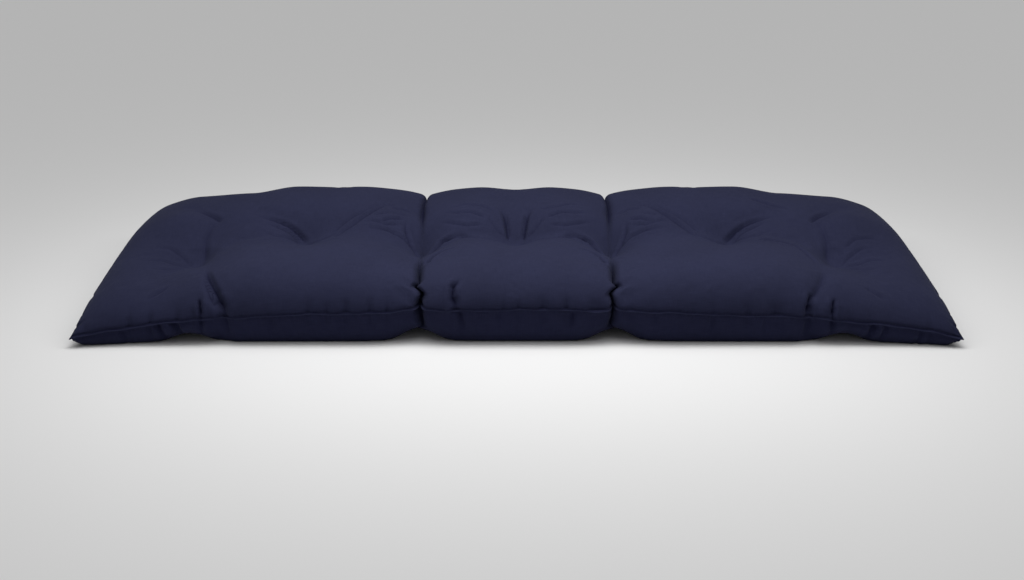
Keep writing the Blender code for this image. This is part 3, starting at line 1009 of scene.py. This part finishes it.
def make_cushion():
    """The sewn cover: its two panels and the ridge of its rim seam, as one piece."""
    coarse_s, coarse_t = grid_of(1, zone_places(ROW_ZONES, 1))
    coarse_top = shaped(coarse_s, coarse_t, top=True)
    coarse_base = shaped(*grid_of(1, base_rows()), top=False)
    u, v = cut_lengths(coarse_top, SPARE_SHARE)
    s, t = grid_of(FINE, zone_places(ROW_ZONES, FINE))
    top = shaped(s, t, top=True)
    moves = settle_cloth(coarse_s, coarse_t, coarse_top, coarse_base, u, v)
    top = top + twice_as_fine(twice_as_fine(moves, 0), 1)
    plan_x, plan_y = plan(s, t)
    top, depth, line_away, line_sharp = press_creases(top, plan_x, plan_y)
    edge = np.maximum(np.abs(s), np.abs(t)) > 1 - FLAT
    top[edge] = shaped(s, t, top=True)[edge]
    top, seam_away, seam_along = gather_at_seam(top, 1)
    base_s, base_t = grid_of(FINE, base_rows())
    base, base_depth = press_base_creases(shaped(base_s, base_t, top=False))
    base, _, _ = gather_at_seam(base, -1)
    base[..., 2] = np.maximum(base[..., 2], 0)
    fine_u, fine_v = np.meshgrid(twice_as_fine(u, 0), twice_as_fine(v, 0), indexing="ij")
    base_v = np.interp(base_rows(), zone_places(ROW_ZONES, 1), v)
    base_u, base_v = np.meshgrid(twice_as_fine(u, 0), base_v, indexing="ij")
    ridge, ridge_cut = seam_ridge(top)
    mesh = grids_mesh("cushion_cloth", [
        (top, np.stack([fine_u, fine_v], axis=-1), False),
        (base, np.stack([base_u, base_v + BASE_CUT_AWAY], axis=-1), True),
        (ridge, ridge_cut, False),
    ])
    # the painted shade of both panels, kept on the mesh for the material to read
    top_dark = top_shade(t, plan_x, depth, seam_away)
    base_dark = base_shade(base_t, plan(base_s, base_t)[0], base_depth)
    note_points(mesh, "painted_shade", (top_dark, base_dark), 0.0)
    note_points(mesh, "crease_away", (line_away,), FAR)
    note_points(mesh, "crease_sharp", (line_sharp,), 0.0)
    note_points(mesh, "seam_away", (seam_away,), FAR)
    note_points(mesh, "seam_along", (seam_along,), 0.0)
    weld(mesh)
    mesh.materials.append(cloth_material())
    mesh.shade_smooth()
    cushion = bpy.data.objects.new("cushion_cloth", mesh)
    bpy.context.scene.collection.objects.link(cushion)
    return cushion


def make_floor():
    mesh = bpy.data.meshes.new("studio_floor")
    bm = bmesh.new()
    bmesh.ops.create_grid(bm, x_segments=1, y_segments=1, size=FLOOR_SIZE)
    bm.to_mesh(mesh)
    bm.free()
    material = bpy.data.materials.new("pale_floor")
    material.use_nodes = True
    shader = material.node_tree.nodes["Principled BSDF"]
    shader.inputs["Base Color"].default_value = FLOOR_COLOUR
    shader.inputs["Roughness"].default_value = FLOOR_ROUGHNESS
    shader.inputs["Specular IOR Level"].default_value = FLOOR_SPECULAR
    mesh.materials.append(material)
    floor = bpy.data.objects.new("studio_floor", mesh)
    bpy.context.scene.collection.objects.link(floor)


def make_light(name, comes_from, softness, strength):
    """A soft light at the same strength all over, as from a wide canopy far away."""
    light = bpy.data.lights.new(name, "SUN")
    light.angle = math.radians(softness)
    light.energy = strength
    obj = bpy.data.objects.new(name, light)
    obj.location = comes_from
    obj.rotation_euler = Vector(comes_from).to_track_quat("Z", "Y").to_euler()
    bpy.context.scene.collection.objects.link(obj)


def make_lamp(name, where, size, power):
    """A soft box that hangs over the object and shines straight down, itself unseen."""
    light = bpy.data.lights.new(name, "AREA")
    light.shape = "RECTANGLE"
    light.size, light.size_y = size
    light.energy = power
    obj = bpy.data.objects.new(name, light)
    obj.location = where
    obj.visible_camera = False
    bpy.context.scene.collection.objects.link(obj)


def make_world(brightness):
    world = bpy.data.worlds.new("studio")
    bpy.context.scene.world = world
    world.use_nodes = True
    background = world.node_tree.nodes["Background"]
    background.inputs["Color"].default_value = WORLD_COLOUR
    background.inputs["Strength"].default_value = brightness


def make_camera():
    data = bpy.data.cameras.new("camera")
    data.sensor_width = SENSOR_WIDTH
    data.lens = SENSOR_WIDTH * CAMERA_FOCAL_PX / PHOTO_WIDTH
    camera = bpy.data.objects.new("camera", data)
    camera.location = CAMERA_PLACE
    camera.rotation_euler = (math.radians(90 - CAMERA_PITCH), 0, 0)
    bpy.context.scene.collection.objects.link(camera)
    bpy.context.scene.camera = camera


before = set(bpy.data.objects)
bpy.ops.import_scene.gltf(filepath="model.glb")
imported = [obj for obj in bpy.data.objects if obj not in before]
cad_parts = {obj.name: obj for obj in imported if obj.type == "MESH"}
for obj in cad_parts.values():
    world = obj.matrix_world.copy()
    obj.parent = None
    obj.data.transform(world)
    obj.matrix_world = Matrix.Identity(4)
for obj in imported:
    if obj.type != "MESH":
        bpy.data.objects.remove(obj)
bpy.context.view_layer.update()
cushion = make_cushion()
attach(cushion, "root")
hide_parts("cushion")
make_floor()
make_light("canopy", CANOPY_PLACE, CANOPY_SOFTNESS, CANOPY_STRENGTH)
make_lamp("softbox", SOFTBOX_PLACE, SOFTBOX_SIZE, SOFTBOX_POWER)
make_world(WORLD_BRIGHTNESS)
make_camera()
bpy.context.scene.view_settings.view_transform = "Standard"
